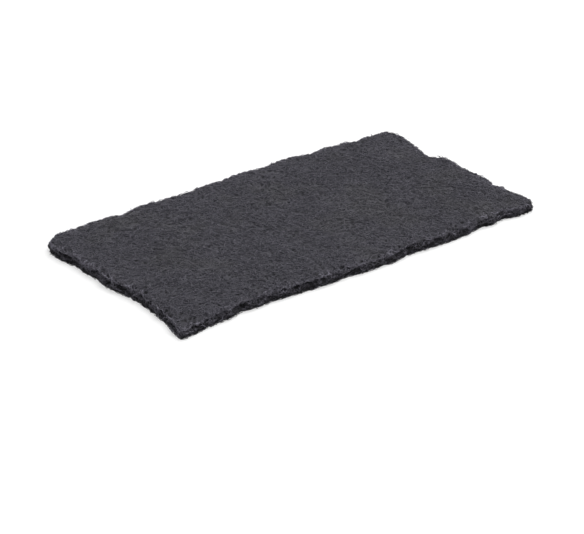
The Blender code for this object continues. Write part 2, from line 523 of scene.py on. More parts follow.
class NodeBench:
    """Sets out the nodes of one tree and joins them."""

    # How far apart the nodes are set out, and the numbers of a Mix node's sockets for colours
    spacing = 180.0
    mix_first = 6
    mix_second = 7
    mix_result = 2

    def __init__(self, tree: bpy.types.NodeTree) -> None:
        """Start on a tree."""
        self.tree = tree
        self.column = 0

    def add(self, kind: str, **settings: object) -> bpy.types.Node:
        """Add a node.

        Args:
            kind: Blender's name for the kind of node.
            settings: The node's own settings, by name.

        Returns:
            The new node.
        """
        node = self.tree.nodes.new(kind)
        node.location = (self.spacing * self.column, 0.0)
        self.column += 1
        for name, value in settings.items():
            setattr(node, name, value)
        return node

    def join(self, source: Socket, target: Socket) -> None:
        """Lead one socket into another."""
        self.tree.links.new(source, target)

    def feed(self, value: object, target: Socket) -> None:
        """Give a socket its value.

        Args:
            value: A socket to lead into the target, or a plain value to set it to.
            target: The socket that is fed.
        """
        if isinstance(value, Socket):
            self.join(value, target)
        else:
            target.default_value = value

    def sum(self, operation: str, *values: object) -> Socket:
        """Add a Math node.

        Args:
            operation: Blender's name for the sum.
            values: Sockets or numbers, in the node's order.

        Returns:
            The result's socket.
        """
        node = self.add("ShaderNodeMath", operation=operation)
        for value, target in zip(values, node.inputs):
            self.feed(value, target)
        return node.outputs["Value"]

    def ramp(self, value: object, low: float, high: float, start: float = 0.0, end: float = 1.0) -> Socket:
        """Map a value smoothly from one range to another.

        Args:
            value: The socket to map.
            low: Where the result is at its start.
            high: Where the result is at its end.
            start: The result at and below low.
            end: The result at and above high.

        Returns:
            The result's socket.
        """
        node = self.add("ShaderNodeMapRange", interpolation_type="SMOOTHSTEP")
        self.feed(value, node.inputs["Value"])
        node.inputs["From Min"].default_value = low
        node.inputs["From Max"].default_value = high
        node.inputs["To Min"].default_value = start
        node.inputs["To Max"].default_value = end
        return node.outputs["Result"]

    def mix(self, share: object, first: object, second: object) -> Socket:
        """Mix two colours.

        Args:
            share: How much of the second there is, as a socket or a number.
            first: A colour or its socket.
            second: A colour or its socket.

        Returns:
            The result's socket.
        """
        node = self.add("ShaderNodeMix", data_type="RGBA")
        self.feed(share, node.inputs["Factor"])
        self.feed(first, node.inputs[self.mix_first])
        self.feed(second, node.inputs[self.mix_second])
        return node.outputs[self.mix_result]

    def reading(self, name: str) -> Socket:
        """Read a value that the mesh holds at each of its points."""
        return self.add("ShaderNodeAttribute", attribute_name=name).outputs["Fac"]

    def piece_place(self) -> Socket:
        """Return the place on the piece, in the piece's own frame."""
        return self.add("ShaderNodeTexCoord").outputs["Object"]

    def noise(self, place: Socket, scale: object, detail: float = 2.0, rough: float = 0.5) -> Socket:
        """Add a Noise Texture.

        Args:
            place: The socket of the place.
            scale: How many waves there are to a metre, as a socket or a number.
            detail: How many finer waves are added.
            rough: How strong the finer waves are.

        Returns:
            The socket of its value.
        """
        node = self.add("ShaderNodeTexNoise")
        self.feed(place, node.inputs["Vector"])
        self.feed(scale, node.inputs["Scale"])
        node.inputs["Detail"].default_value = detail
        node.inputs["Roughness"].default_value = rough
        return node.outputs["Fac"]

    def seen(self) -> Socket:
        """Mark what is seen, as against what only gives light.

        Returns:
            The socket of a mask: 1 for what the camera sees, also in a gloss or through glass.
        """
        path = self.add("ShaderNodeLightPath")
        seen = self.sum("MAXIMUM", path.outputs["Is Camera Ray"], path.outputs["Is Glossy Ray"])
        return self.sum("MAXIMUM", seen, path.outputs["Is Transmission Ray"])


class EffectShelf:
    """The shader effects that the strip's finishes share, each made once as a node group."""

    # How the matted strands lie: the turns of their layers and how far each layer is shifted for
    # its turn, the strands' length in widths, and how steeply each rises to its crest
    strand_turns = (0.3, 1.1, 1.9, 2.8)
    strand_shift = (0.1, 0.3, 0.0)
    strand_length = 5.0
    strand_slope = 8.0

    def __init__(self) -> None:
        """Make every effect."""
        self.grain = self.make_grain()
        self.drift = self.make_drift()
        self.strands = self.make_strands()

    @staticmethod
    def start(
        name: str, inputs: dict[str, SocketKind], outputs: dict[str, SocketKind]
    ) -> tuple[NodeBench, bpy.types.Node, bpy.types.Node]:
        """Start a node group.

        Args:
            name: The group's name.
            inputs: The kind of each input socket, by name.
            outputs: The kind of each output socket, by name.

        Returns:
            The bench on the group's tree, its input node and its output node.
        """
        tree = bpy.data.node_groups.new(name, "ShaderNodeTree")
        for label, kind in inputs.items():
            tree.interface.new_socket(label, in_out="INPUT", socket_type=kind.value)
        for label, kind in outputs.items():
            tree.interface.new_socket(label, in_out="OUTPUT", socket_type=kind.value)
        bench = NodeBench(tree)
        return bench, bench.add("NodeGroupInput"), bench.add("NodeGroupOutput")

    def make_grain(self) -> bpy.types.NodeTree:
        """Make the resin coat with its fine grain.

        Returns:
            The group, which gives a colour, a roughness and a height.
        """
        bench, given, result = self.start(
            "resin_and_grain",
            {"Color": SocketKind.COLOUR, "Grain Color": SocketKind.COLOUR, "Grain Size": SocketKind.NUMBER},
            {"Color": SocketKind.COLOUR, "Roughness": SocketKind.NUMBER, "Height": SocketKind.NUMBER},
        )
        scale = bench.sum("DIVIDE", 1.0, given.outputs["Grain Size"])
        speck = bench.noise(bench.piece_place(), scale, detail=2.0, rough=0.6)
        share = bench.ramp(speck, low=0.52, high=0.66)
        colour = bench.mix(share, given.outputs["Color"], given.outputs["Grain Color"])
        rough = bench.ramp(speck, low=0.35, high=0.65, start=0.86, end=0.62)
        bench.join(colour, result.inputs["Color"])
        bench.join(rough, result.inputs["Roughness"])
        bench.join(speck, result.inputs["Height"])
        return bench.tree

    def make_drift(self) -> bpy.types.NodeTree:
        """Make the slow change of tone and tint over the web.

        Returns:
            The group, which gives the changed colour.
        """
        bench, given, result = self.start(
            "tone_drift",
            {
                "Color": SocketKind.COLOUR,
                "Tint": SocketKind.COLOUR,
                "Patch Size": SocketKind.NUMBER,
                "Tint Share": SocketKind.NUMBER,
                "Depth": SocketKind.NUMBER,
            },
            {"Color": SocketKind.COLOUR},
        )
        place = bench.piece_place()
        scale = bench.sum("DIVIDE", 1.0, given.outputs["Patch Size"])
        patch = bench.ramp(bench.noise(place, scale, detail=2.0), low=0.5, high=0.68)
        tint = bench.sum("MULTIPLY", patch, given.outputs["Tint Share"])
        fine = bench.noise(place, bench.sum("MULTIPLY", scale, 2.0), detail=5.0)
        swing = bench.ramp(fine, low=0.36, high=0.64, start=-0.5, end=0.5)
        level = bench.sum("ADD", 1.0, bench.sum("MULTIPLY", swing, given.outputs["Depth"]))
        scaled = bench.add("ShaderNodeVectorMath", operation="SCALE")
        bench.join(bench.mix(tint, given.outputs["Color"], given.outputs["Tint"]), scaled.inputs[0])
        bench.join(level, scaled.inputs["Scale"])
        bench.join(scaled.outputs["Vector"], result.inputs["Color"])
        return bench.tree

    def make_strands(self) -> bpy.types.NodeTree:
        """Make the matted strands.

        Returns:
            The group, which gives a height and a mask of the gaps between the strands, for painted shade.
        """
        bench, given, result = self.start(
            "matted_strands",
            {"Strand Width": SocketKind.NUMBER},
            {"Height": SocketKind.NUMBER, "Gap Shade": SocketKind.NUMBER},
        )
        place = bench.piece_place()
        scale = bench.sum("DIVIDE", 1.0, given.outputs["Strand Width"])
        top: object = 0.0
        for turn in self.strand_turns:
            lay = bench.add("ShaderNodeMapping", vector_type="TEXTURE")
            bench.join(place, lay.inputs["Vector"])
            lay.inputs["Rotation"].default_value = (0.0, 0.0, turn)
            lay.inputs["Scale"].default_value = (self.strand_length, 1.0, 1.0)
            lay.inputs["Location"].default_value = [part * turn for part in self.strand_shift]
            wave = bench.noise(lay.outputs["Vector"], scale, detail=1.0)
            slope = bench.sum("MULTIPLY_ADD", wave, self.strand_slope, -self.strand_slope / 2.0)
            ridge = bench.sum("SUBTRACT", 1.0, bench.sum("ABSOLUTE", slope))
            top = bench.sum("MAXIMUM", ridge, top)
        bench.join(top, result.inputs["Height"])
        # The mask of the gaps, where shade is painted between the strands
        bench.join(bench.ramp(top, low=0.1, high=0.6, start=1.0, end=0.0), result.inputs["Gap Shade"])
        return bench.tree

    @staticmethod
    def place(bench: NodeBench, effect: bpy.types.NodeTree, **values: object) -> bpy.types.Node:
        """Place an effect in a material.

        Args:
            bench: The bench on the material's tree.
            effect: The effect's node group.
            values: A socket or plain value for each input, by name with its spaces as underscores.

        Returns:
            The group's node.
        """
        node = bench.add("ShaderNodeGroup", node_tree=effect)
        for name, value in values.items():
            bench.feed(value, node.inputs[name.replace("_", " ")])
        return node


@dataclass(frozen=True, kw_only=True)
class StripFinish:
    """What the strip's finishes share: a tint in patches, a drift of tone, fine relief and gloss."""

    name: str
    tint: Colour
    tint_share: float
    depth: float
    patch_size: float = 0.03
    relief: float
    specular: float

    def start(self) -> tuple[bpy.types.Material, NodeBench, bpy.types.Node]:
        """Start the material.

        Returns:
            The material, the bench on its tree, and its shader.
        """
        material = bpy.data.materials.new(self.name)
        material.use_nodes = True
        shader = material.node_tree.nodes["Principled BSDF"]
        shader.inputs["Specular IOR Level"].default_value = self.specular
        return material, NodeBench(material.node_tree), shader

    def drifted(self, bench: NodeBench, shelf: EffectShelf, colour: Socket) -> Socket:
        """Let a colour drift over the web.

        Args:
            bench: The bench on the material's tree.
            shelf: The shared effects.
            colour: The colour's socket.

        Returns:
            The socket of the drifted colour.
        """
        drift = shelf.place(
            bench,
            shelf.drift,
            Color=colour,
            Tint=self.tint,
            Patch_Size=self.patch_size,
            Tint_Share=self.tint_share,
            Depth=self.depth,
        )
        return drift.outputs["Color"]

    def add_relief(self, bench: NodeBench, height: Socket, shader: bpy.types.Node) -> None:
        """Add the fine relief.

        Args:
            bench: The bench on the material's tree.
            height: The socket of the relief's height, from 0 to 1.
            shader: The material's shader.
        """
        bump = bench.add("ShaderNodeBump")
        bump.inputs["Distance"].default_value = self.relief
        bench.join(height, bump.inputs["Height"])
        bench.join(bump.outputs["Normal"], shader.inputs["Normal"])


@dataclass(frozen=True, kw_only=True)
class CoatedFibreFinish(StripFinish):
    """The finish of a single coated fibre: dull resin with fine grain in it."""

    dark: Colour
    light: Colour
    grain_colour: Colour
    grain_size: float = 0.00012
    relief: float = 0.00003
    specular: float = 0.3

    def build(self, shelf: EffectShelf) -> bpy.types.Material:
        """Make the material.

        Args:
            shelf: The shared effects.

        Returns:
            The new material.
        """
        material, bench, shader = self.start()
        coat = bench.mix(bench.reading(TONE), self.dark, self.light)
        grain = shelf.place(
            bench, shelf.grain, Color=coat, Grain_Color=self.grain_colour, Grain_Size=self.grain_size
        )
        bench.join(self.drifted(bench, shelf, grain.outputs["Color"]), shader.inputs["Base Color"])
        bench.join(grain.outputs["Roughness"], shader.inputs["Roughness"])
        self.add_relief(bench, grain.outputs["Height"], shader)
        return material


@dataclass(frozen=True, kw_only=True)
class MattedWebFinish(StripFinish):
    """The finish of the web under its top fibres: matted strands with painted shade in the gaps between
    them, and painted shade inside the web.
    """

    colour: Colour
    # Painted shade in the gaps between the strands
    gap_shade_colour: Colour
    # Near black: painted shade inside the web
    inside_shade_colour: Colour
    strand_width: float = 0.0006
    relief: float = 0.0002
    specular: float = 0.2

    def build(self, shelf: EffectShelf) -> bpy.types.Material:
        """Make the material.

        Args:
            shelf: The shared effects.

        Returns:
            The new material.
        """
        material, bench, shader = self.start()
        strands = shelf.place(bench, shelf.strands, Strand_Width=self.strand_width)
        height = strands.outputs["Height"]
        # Painted shade in the gaps between the strands
        matted = bench.mix(strands.outputs["Gap Shade"], self.colour, self.gap_shade_colour)
        # Painted shade inside the web where it stands open, at the rim and on the cut edge
        sunk = bench.mix(bench.reading(HOLLOW_SHADE), self.drifted(bench, shelf, matted), self.inside_shade_colour)
        rough = bench.ramp(height, low=0.0, high=1.0, start=0.95, end=0.75)
        bench.join(sunk, shader.inputs["Base Color"])
        bench.join(rough, shader.inputs["Roughness"])
        self.add_relief(bench, height, shader)
        return material


@dataclass(frozen=True)
class FloorFinish:
    """The finish of the pale floor, which shows white and keeps the strip's shadow."""

    name: str = "pale_floor"
    colour: Colour = (0.45, 0.45, 0.45, 1.0)
    glow: float = 0.60
    far_glow: float = 1.0
    glow_start: float = 0.35
    glow_end: float = 0.90

    def build(self) -> bpy.types.Material:
        """Make the material.

        Returns:
            The new material.
        """
        material = bpy.data.materials.new(self.name)
        material.use_nodes = True
        material.node_tree.nodes.clear()
        bench = NodeBench(material.node_tree)
        matt = bench.add("ShaderNodeBsdfDiffuse")
        matt.inputs["Color"].default_value = self.colour
        away = bench.add("ShaderNodeVectorMath", operation="LENGTH")
        bench.join(bench.piece_place(), away.inputs[0])
        level = bench.ramp(away.outputs["Value"], self.glow_start, self.glow_end, self.glow, self.far_glow)
        glow = bench.add("ShaderNodeEmission")
        bench.join(level, glow.inputs["Strength"])
        both = bench.add("ShaderNodeAddShader")
        bench.join(matt.outputs["BSDF"], both.inputs[0])
        bench.join(glow.outputs["Emission"], both.inputs[1])
        choice = bench.add("ShaderNodeMixShader")
        bench.join(bench.seen(), choice.inputs["Fac"])
        bench.join(matt.outputs["BSDF"], choice.inputs[1])
        bench.join(both.outputs["Shader"], choice.inputs[2])
        result = bench.add("ShaderNodeOutputMaterial")
        bench.join(choice.outputs["Shader"], result.inputs["Surface"])
        return material


def store(mesh: bpy.types.Mesh, name: str, values: np.ndarray) -> None:
    """Store one value at each point of a mesh."""
    mesh.attributes.new(name, "FLOAT", "POINT").data.foreach_set("value", values.astype(np.float32))


def store_map(mesh: bpy.types.Mesh, places: np.ndarray) -> None:
    """Store the place of each face's corner on the mesh's bake map, in the order of the faces."""
    mesh.uv_layers.new(name=BAKE_MAP).data.foreach_set("uv", places.astype(np.float32).ravel())


def add_piece(name: str, mesh: bpy.types.Mesh, material: bpy.types.Material) -> bpy.types.Object:
    """Link a finished mesh to the scene as a piece that rides on the strip's body.

    Args:
        name: The piece's name.
        mesh: Its mesh.
        material: Its finish.

    Returns:
        The new piece.
    """
    mesh.materials.append(material)
    mesh.shade_smooth()
    piece = bpy.data.objects.new(name, mesh)
    bpy.context.scene.collection.objects.link(piece)
    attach(piece, BODY)
    mesh.calc_loop_triangles()
    LOG.info("%s: %d triangles", name, len(mesh.loop_triangles))
    return piece


@dataclass
class WebForm:
    """The fine rough form of the web: its lumpy face, its torn cut edge and its underside.

    The face and the underside are grids of points, and the cut edge between them has courses of
    points all round. Each point is read from the solid and then moved by seeded waves.
    """

    solid: Skin
    cells_long: int = 320
    cells_wide: int = 176
    courses: int = 13
    back_share: float = 0.35
    front_middle: float = 0.5
    front_slope: float = 0.7
    front_inset: float = 0.0004
    fray_reach: float = 0.0026
    face_shrink: float = 1e-3
    underside_shrink: float = 1.5e-2
    underside_gap: float = 0.00012
    edge_stand: float = 0.0003
    edge_spread: float = 2.0
    furrow_start: float = 0.15
    undercut_fill: float = 0.0005
    undercut_place: float = 0.24
    undercut_reach: float = 0.17
    search_reach: float = 0.01
    face: np.ndarray = field(init=False)
    edge: np.ndarray = field(init=False)
    under: np.ndarray = field(init=False)

    def __post_init__(self) -> None:
        """Work out the grids of points of the face, the cut edge and the underside."""
        still, ragged = self.plan(nibbled=False), self.plan(nibbled=True)
        inside = (still * (1.0 - self.face_shrink)).reshape(-1, 2)
        heights = np.array([self.solid.height(x, y) for x, y in inside.tolist()])
        face = np.column_stack([ragged.reshape(-1, 2), heights])
        face[:, 2] += self.lumps(face) - self.fray(face)
        self.face = face.reshape(*still.shape[:2], 3)
        self.edge = self.edge_points(self.ring(still), self.ring(self.face))
        under = still[::2, ::2] * (1.0 - self.underside_shrink)
        flat = laid_flat(under.reshape(-1, 2))
        flat[:, 2] = self.underside_gap + np.abs(self.lumps(flat))
        self.under = flat.reshape(*under.shape[:2], 3)

    @staticmethod
    def lumps(places: np.ndarray) -> np.ndarray:
        """Return how far each place stands out from, or sinks into, the web's even surface."""
        return LUMPS.at(places) + FINE_LUMPS.at(places)

    def frontness(self, ring: np.ndarray) -> np.ndarray:
        """Return from 0 to 1 how far the rim faces the front or the left at each place of the outline."""
        return np.clip(self.front_middle - self.front_slope * outward(ring).sum(axis=1), 0.0, 1.0)

    def raggedness(self, ring: np.ndarray) -> np.ndarray:
        """Return how ragged the rim is at each place: fully at the front and left, and less elsewhere."""
        return self.back_share + (1.0 - self.back_share) * self.frontness(ring)

    def nibbles(self, ring: np.ndarray) -> np.ndarray:
        """Work out how far the rim stands out or in.

        Args:
            ring: The points of the outline.

        Returns:
            One distance for each point, outward where it is more than zero.
        """
        level = laid_flat(ring[:, :2])
        swing = (NIBBLES.at(level) + FINE_NIBBLES.at(level)) * self.raggedness(ring)
        return swing - self.front_inset * self.frontness(ring)

    def fray(self, places: np.ndarray) -> np.ndarray:
        """Work out how far the face is frayed down near its rim.

        Args:
            places: The points of the face, in the order of its grid.

        Returns:
            One depth for each point.
        """
        plan = places[:, :2]
        ring = self.ring(plan.reshape(self.cells_long + 1, self.cells_wide + 1, 2))
        numbers, away = nearest_points(laid_flat(ring), laid_flat(plan))
        sunk = np.maximum(FRAY.depth / 2.0 + FRAY.at(laid_flat(plan)), 0.0)
        return sunk * self.raggedness(ring)[numbers] * fading(away, self.fray_reach)

    @staticmethod
    def spaced(points: np.ndarray, count: int) -> np.ndarray:
        """Space points evenly along a line.

        Args:
            points: The points of the line, as rows of X and Y.
            count: How many even steps it is cut into.

        Returns:
            The points at the ends of the steps.
        """
        steps = np.linalg.norm(np.diff(points, axis=0), axis=1)
        run = np.concatenate([[0.0], np.cumsum(steps)])
        wanted = np.linspace(0.0, run[-1], count + 1)
        return np.stack([np.interp(wanted, run, points[:, k]) for k in range(2)], axis=1)

    def sides(self) -> list[np.ndarray]:
        """Cut the outline into its four sides.

        Returns:
            The front, right, back and left sides, as evenly spaced points.
        """
        loop = self.solid.rim_loop[:, :2]
        shares = loop / np.abs(loop).max(axis=0)
        corners = [int(np.argmax(shares @ np.array(way))) for way in ((-1, -1), (1, -1), (1, 1), (-1, 1))]
        loop = np.roll(loop, -corners[0], axis=0)
        marks = [(corner - corners[0]) % len(loop) for corner in corners] + [len(loop)]
        closed = np.concatenate([loop, loop[:1]])
        counts = (self.cells_long, self.cells_wide, self.cells_long, self.cells_wide)
        return [self.spaced(closed[marks[k] : marks[k + 1] + 1], counts[k]) for k in range(4)]

    def plan(self, nibbled: bool) -> np.ndarray:
        """Fill the outline with a grid of points.

        Args:
            nibbled: Whether the outline has its small nibbles.

        Returns:
            The grid of X and Y.
        """
        sides = self.sides()
        if nibbled:
            ring = np.concatenate([side[:-1] for side in sides])
            ring += outward(ring) * self.nibbles(ring)[:, None]
            marks = np.cumsum([0] + [len(side) - 1 for side in sides])
            closed = np.concatenate([ring, ring[:1]])
            sides = [closed[marks[k] : marks[k + 1] + 1] for k in range(4)]
        front, right, back, left = sides[0], sides[1], sides[2][::-1], sides[3][::-1]
        right_share = np.linspace(0.0, 1.0, self.cells_long + 1)[:, None, None]
        back_share = np.linspace(0.0, 1.0, self.cells_wide + 1)[None, :, None]
        left_share, front_share = 1.0 - right_share, 1.0 - back_share
        ruled_long = front[:, None, :] * front_share + back[:, None, :] * back_share
        ruled_wide = left[None, :, :] * left_share + right[None, :, :] * right_share
        twist = front[0] * left_share * front_share + front[-1] * right_share * front_share
        twist = twist + back[0] * left_share * back_share + back[-1] * right_share * back_share
        return ruled_long + ruled_wide - twist

    @staticmethod
    def ring(grid: np.ndarray) -> np.ndarray:
        """Return the border of a grid in the order of a walk round it."""
        return np.concatenate([grid[:-1, 0], grid[-1, :-1], grid[:0:-1, -1], grid[0, :0:-1]])

    def met(self, still: np.ndarray, out: np.ndarray, heights: np.ndarray) -> np.ndarray:
        """Find the solid's cut edge at some heights.

        Args:
            still: The places of the outline, as rows of X and Y.
            out: The level direction that leads outward at each place.
            heights: The height to look at, at each place.

        Returns:
            Where a level line that leads inward there meets the solid.
        """
        places = []
        for (x, y), (way_x, way_y), height in zip(still.tolist(), out.tolist(), heights.tolist()):
            start = Vector((x + self.search_reach * way_x, y + self.search_reach * way_y, height))
            places.append(tuple(self.solid.tree.ray_cast(start, Vector((-way_x, -way_y, 0.0)))[0]))
        return np.array(places)

    def edge_points(self, still: np.ndarray, rim: np.ndarray) -> np.ndarray:
        """Work out the courses of points of the cut edge.

        Args:
            still: The outline of the working face without its nibbles.
            rim: The points of the frayed rim.

        Returns:
            The courses, from under the rim down to the underside.
        """
        out = outward(still)
        nibbles = self.nibbles(still)
        courses = []
        for course in range(1, self.courses + 1):
            down = course / self.courses
            places = self.met(still, out, rim[:, 2] * (1.0 - down) + self.underside_gap * down)
            furrowed = math.sin(math.pi * min(down + self.furrow_start, 1.0))
            filled = math.exp(-(((down - self.undercut_place) / self.undercut_reach) ** 2))
            shift = FURROWS.at(places) * furrowed + self.lumps(places)
            shift += nibbles * (1.0 - down) + self.edge_stand * (1.0 + self.edge_spread * down)
            shift += self.undercut_fill * filled
            places[:, :2] += out * shift[:, None]
            courses.append(places)
        return np.array(courses)

    @staticmethod
    def cells(values: np.ndarray, flip: bool) -> np.ndarray:
        """Make the four-cornered faces of a grid.

        Args:
            values: The grid's point numbers, or its places on the map.
            flip: Whether the faces look down.

        Returns:
            The corners of each face.
        """
        corners = [values[:-1, :-1], values[1:, :-1], values[1:, 1:], values[:-1, 1:]]
        faces = np.stack(corners, axis=2).reshape(-1, 4, *values.shape[2:])
        return faces[:, ::-1] if flip else faces

    def numbers(self) -> list[np.ndarray]:
        """Number the points.

        Returns:
            The numbers on the grids of the face, of the cut edge and of the underside.
        """
        grids = []
        first = 0
        for grid in (self.face, self.edge, self.under):
            count = grid[..., 0].size
            grids.append(np.arange(first, first + count).reshape(grid.shape[:2]))
            first += count
        return grids

    def points(self) -> np.ndarray:
        """Return every point in the order of their numbers."""
        return np.concatenate([grid.reshape(-1, 3) for grid in (self.face, self.edge, self.under)])

    def loops(self) -> tuple[np.ndarray, np.ndarray]:
        """Number the loops round the strip, each with its first point once more at its end.

        Returns:
            The loops from the rim down to the cut edge's last course, and the underside's border.
        """
        face, edge, under = self.numbers()
        fine = np.concatenate([self.ring(face)[None], edge])
        coarse = self.ring(under)
        return np.concatenate([fine, fine[:, :1]], axis=1), np.append(coarse, coarse[0])

    @staticmethod
    def seam(fine: np.ndarray, coarse: np.ndarray) -> np.ndarray:
        """Make the three-cornered faces that join the cut edge's last course to the underside.

        Args:
            fine: The values of the last course, an odd number of them.
            coarse: The values of the underside's border, one for every other value of the course.

        Returns:
            The corners of the faces, as point numbers or as places on the map.
        """
        before, middle, after = fine[:-2:2], fine[1:-1:2], fine[2::2]
        start, end = coarse[:-1], coarse[1:]
        corners = [middle, before, start, middle, start, end, after, middle, end]
        return np.stack(corners, axis=1).reshape(-1, 3, *fine.shape[1:])

    def skin(self) -> Skin:
        """Make a skin of the form, to lay fibres on.

        Returns:
            The skin.
        """
        face, _, under = self.numbers()
        fine, coarse = self.loops()
        groups = [
            (Zone.FACE, self.cells(face, flip=False)),
            (Zone.EDGE, self.cells(fine, flip=False)),
            (Zone.UNDERSIDE, self.cells(under, flip=True)),
        ]
        facets = [np.concatenate([quads[:, [0, 1, 2]], quads[:, [0, 2, 3]]]) for _, quads in groups]
        zones = [np.full(len(some), zone.value) for (zone, _), some in zip(groups, facets)]
        facets.append(self.seam(fine[-1], coarse))
        zones.append(np.full(len(facets[-1]), Zone.EDGE.value))
        rim = self.ring(self.face)
        skin = Skin(self.points(), np.concatenate(facets), np.concatenate(zones), rim)
        skin.point_normals[fine[0, :-1]] = unit(np.column_stack([outward(rim), np.ones(len(rim))]))
        return skin


@dataclass
class WebCore:
    """The matted web under its top fibres: one closed body, a little inside the web's form."""

    form: WebForm
    skin: Skin
    spots: OpenSpots
    face_inset: float = 0.00035
    edge_inset: float = 0.0006
    spot_depth: float = 0.0011
    # How much shade is painted inside the web at the rim and on its cut edge
    rim_painted_shade: float = 0.1
    edge_painted_shade: float = 0.8
    map_scale: float = 3.8
    map_margin: float = 0.0005
    map_under: float = 0.5
    map_columns: int = 3
    column_width: float = 0.04
    column_margin: float = 0.1
    column_end: float = 0.005

    def strip_map(self, count: int, column: int, longest: int) -> np.ndarray:
        """Lay a stretch of the cut edge on the bake map.

        Args:
            count: How many points the stretch has in each course.
            column: The number of its column on the map.
            longest: The count of the longest stretch.

        Returns:
            The grid of places, with one more row for the underside's border.
        """
        left = 1.0 - self.column_width * (self.map_columns - column)
        courses = np.linspace(self.column_margin, 1.0 - self.column_margin, self.form.courses + 2)
        along = self.column_end + (1.0 - 2.0 * self.column_end) * np.arange(count) / longest
        return np.stack(np.meshgrid(left + courses * self.column_width, along, indexing="ij"), axis=2)

    def flat_map(self, grid: np.ndarray, lift: float) -> np.ndarray:
        """Return the place on the bake map of each point of a flat grid."""
        low = self.skin.points.min(axis=0)[:2] - self.map_margin
        return (grid[..., :2] - low) * self.map_scale + np.array([0.0, lift])

    def faces_and_places(self) -> tuple[list, np.ndarray]:
        """Make the web's faces and lay them on the bake map.

        Returns:
            The faces as point numbers, and the place of each of their corners on the map.
        """
        form = self.form
        face, _, under = form.numbers()
        fine, coarse = form.loops()
        faces = [form.cells(face, flip=False), form.cells(under, flip=True)]
        places = [
            form.cells(self.flat_map(form.face, 0.0), flip=False),
            form.cells(self.flat_map(form.under, self.map_under), flip=True),
        ]
        shares = [part / (2 * self.map_columns) for part in range(self.map_columns + 1)]
        marks = [2 * round((fine.shape[1] - 1) * share) for share in shares]
        longest = max(np.diff(marks)) + 1
        seams, seam_places = [], []
        for column in range(self.map_columns):
            start, end = marks[column], marks[column + 1]
            spread = self.strip_map(end - start + 1, column, longest)
            faces.append(form.cells(fine[:, start : end + 1], flip=False))
            places.append(form.cells(spread[:-1], flip=False))
            seams.append(form.seam(fine[-1, start : end + 1], coarse[start // 2 : end // 2 + 1]))
            seam_places.append(form.seam(spread[-2], spread[-1, ::2]))
        corners = [np.concatenate(places).reshape(-1, 2), np.concatenate(seam_places).reshape(-1, 2)]
        return np.concatenate(faces).tolist() + np.concatenate(seams).tolist(), np.concatenate(corners)

    def mesh(self) -> bpy.types.Mesh:
        """Build the closed mesh of the web.

        Returns:
            The mesh, which holds at each of its points how open the web is and how much shade is painted
            inside it.
        """
        face, edge, _ = self.form.numbers()
        rim = self.form.ring(face)
        points = self.form.points()
        hollow_and_painted_shade = np.zeros(len(points))
        hollow_and_painted_shade[face.ravel()] = self.spots.openness(points[face.ravel(), :2])
        inset = self.face_inset + self.spot_depth * hollow_and_painted_shade
        inset[edge.ravel()] = self.edge_inset
        # The rim and the cut edge get painted shade inside the web too
        hollow_and_painted_shade[rim] = np.maximum(hollow_and_painted_shade[rim], self.rim_painted_shade)
        hollow_and_painted_shade[edge.ravel()] = self.edge_painted_shade
        points -= self.skin.point_normals * inset[:, None]
        points[:, 2] = np.maximum(points[:, 2], self.form.underside_gap)
        faces, places = self.faces_and_places()
        mesh = bpy.data.meshes.new("strip_web")
        mesh.from_pydata(points.tolist(), [], faces)
        store(mesh, HOLLOW_SHADE, hollow_and_painted_shade)
        store_map(mesh, places)
        return mesh

    def build(self, material: bpy.types.Material) -> bpy.types.Object:
        """Build the piece and let it stand for the plain solid.

        Args:
            material: Its finish.

        Returns:
            The new piece.
        """
        piece = add_piece("strip_web", self.mesh(), material)
        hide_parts(NODE)
        return piece


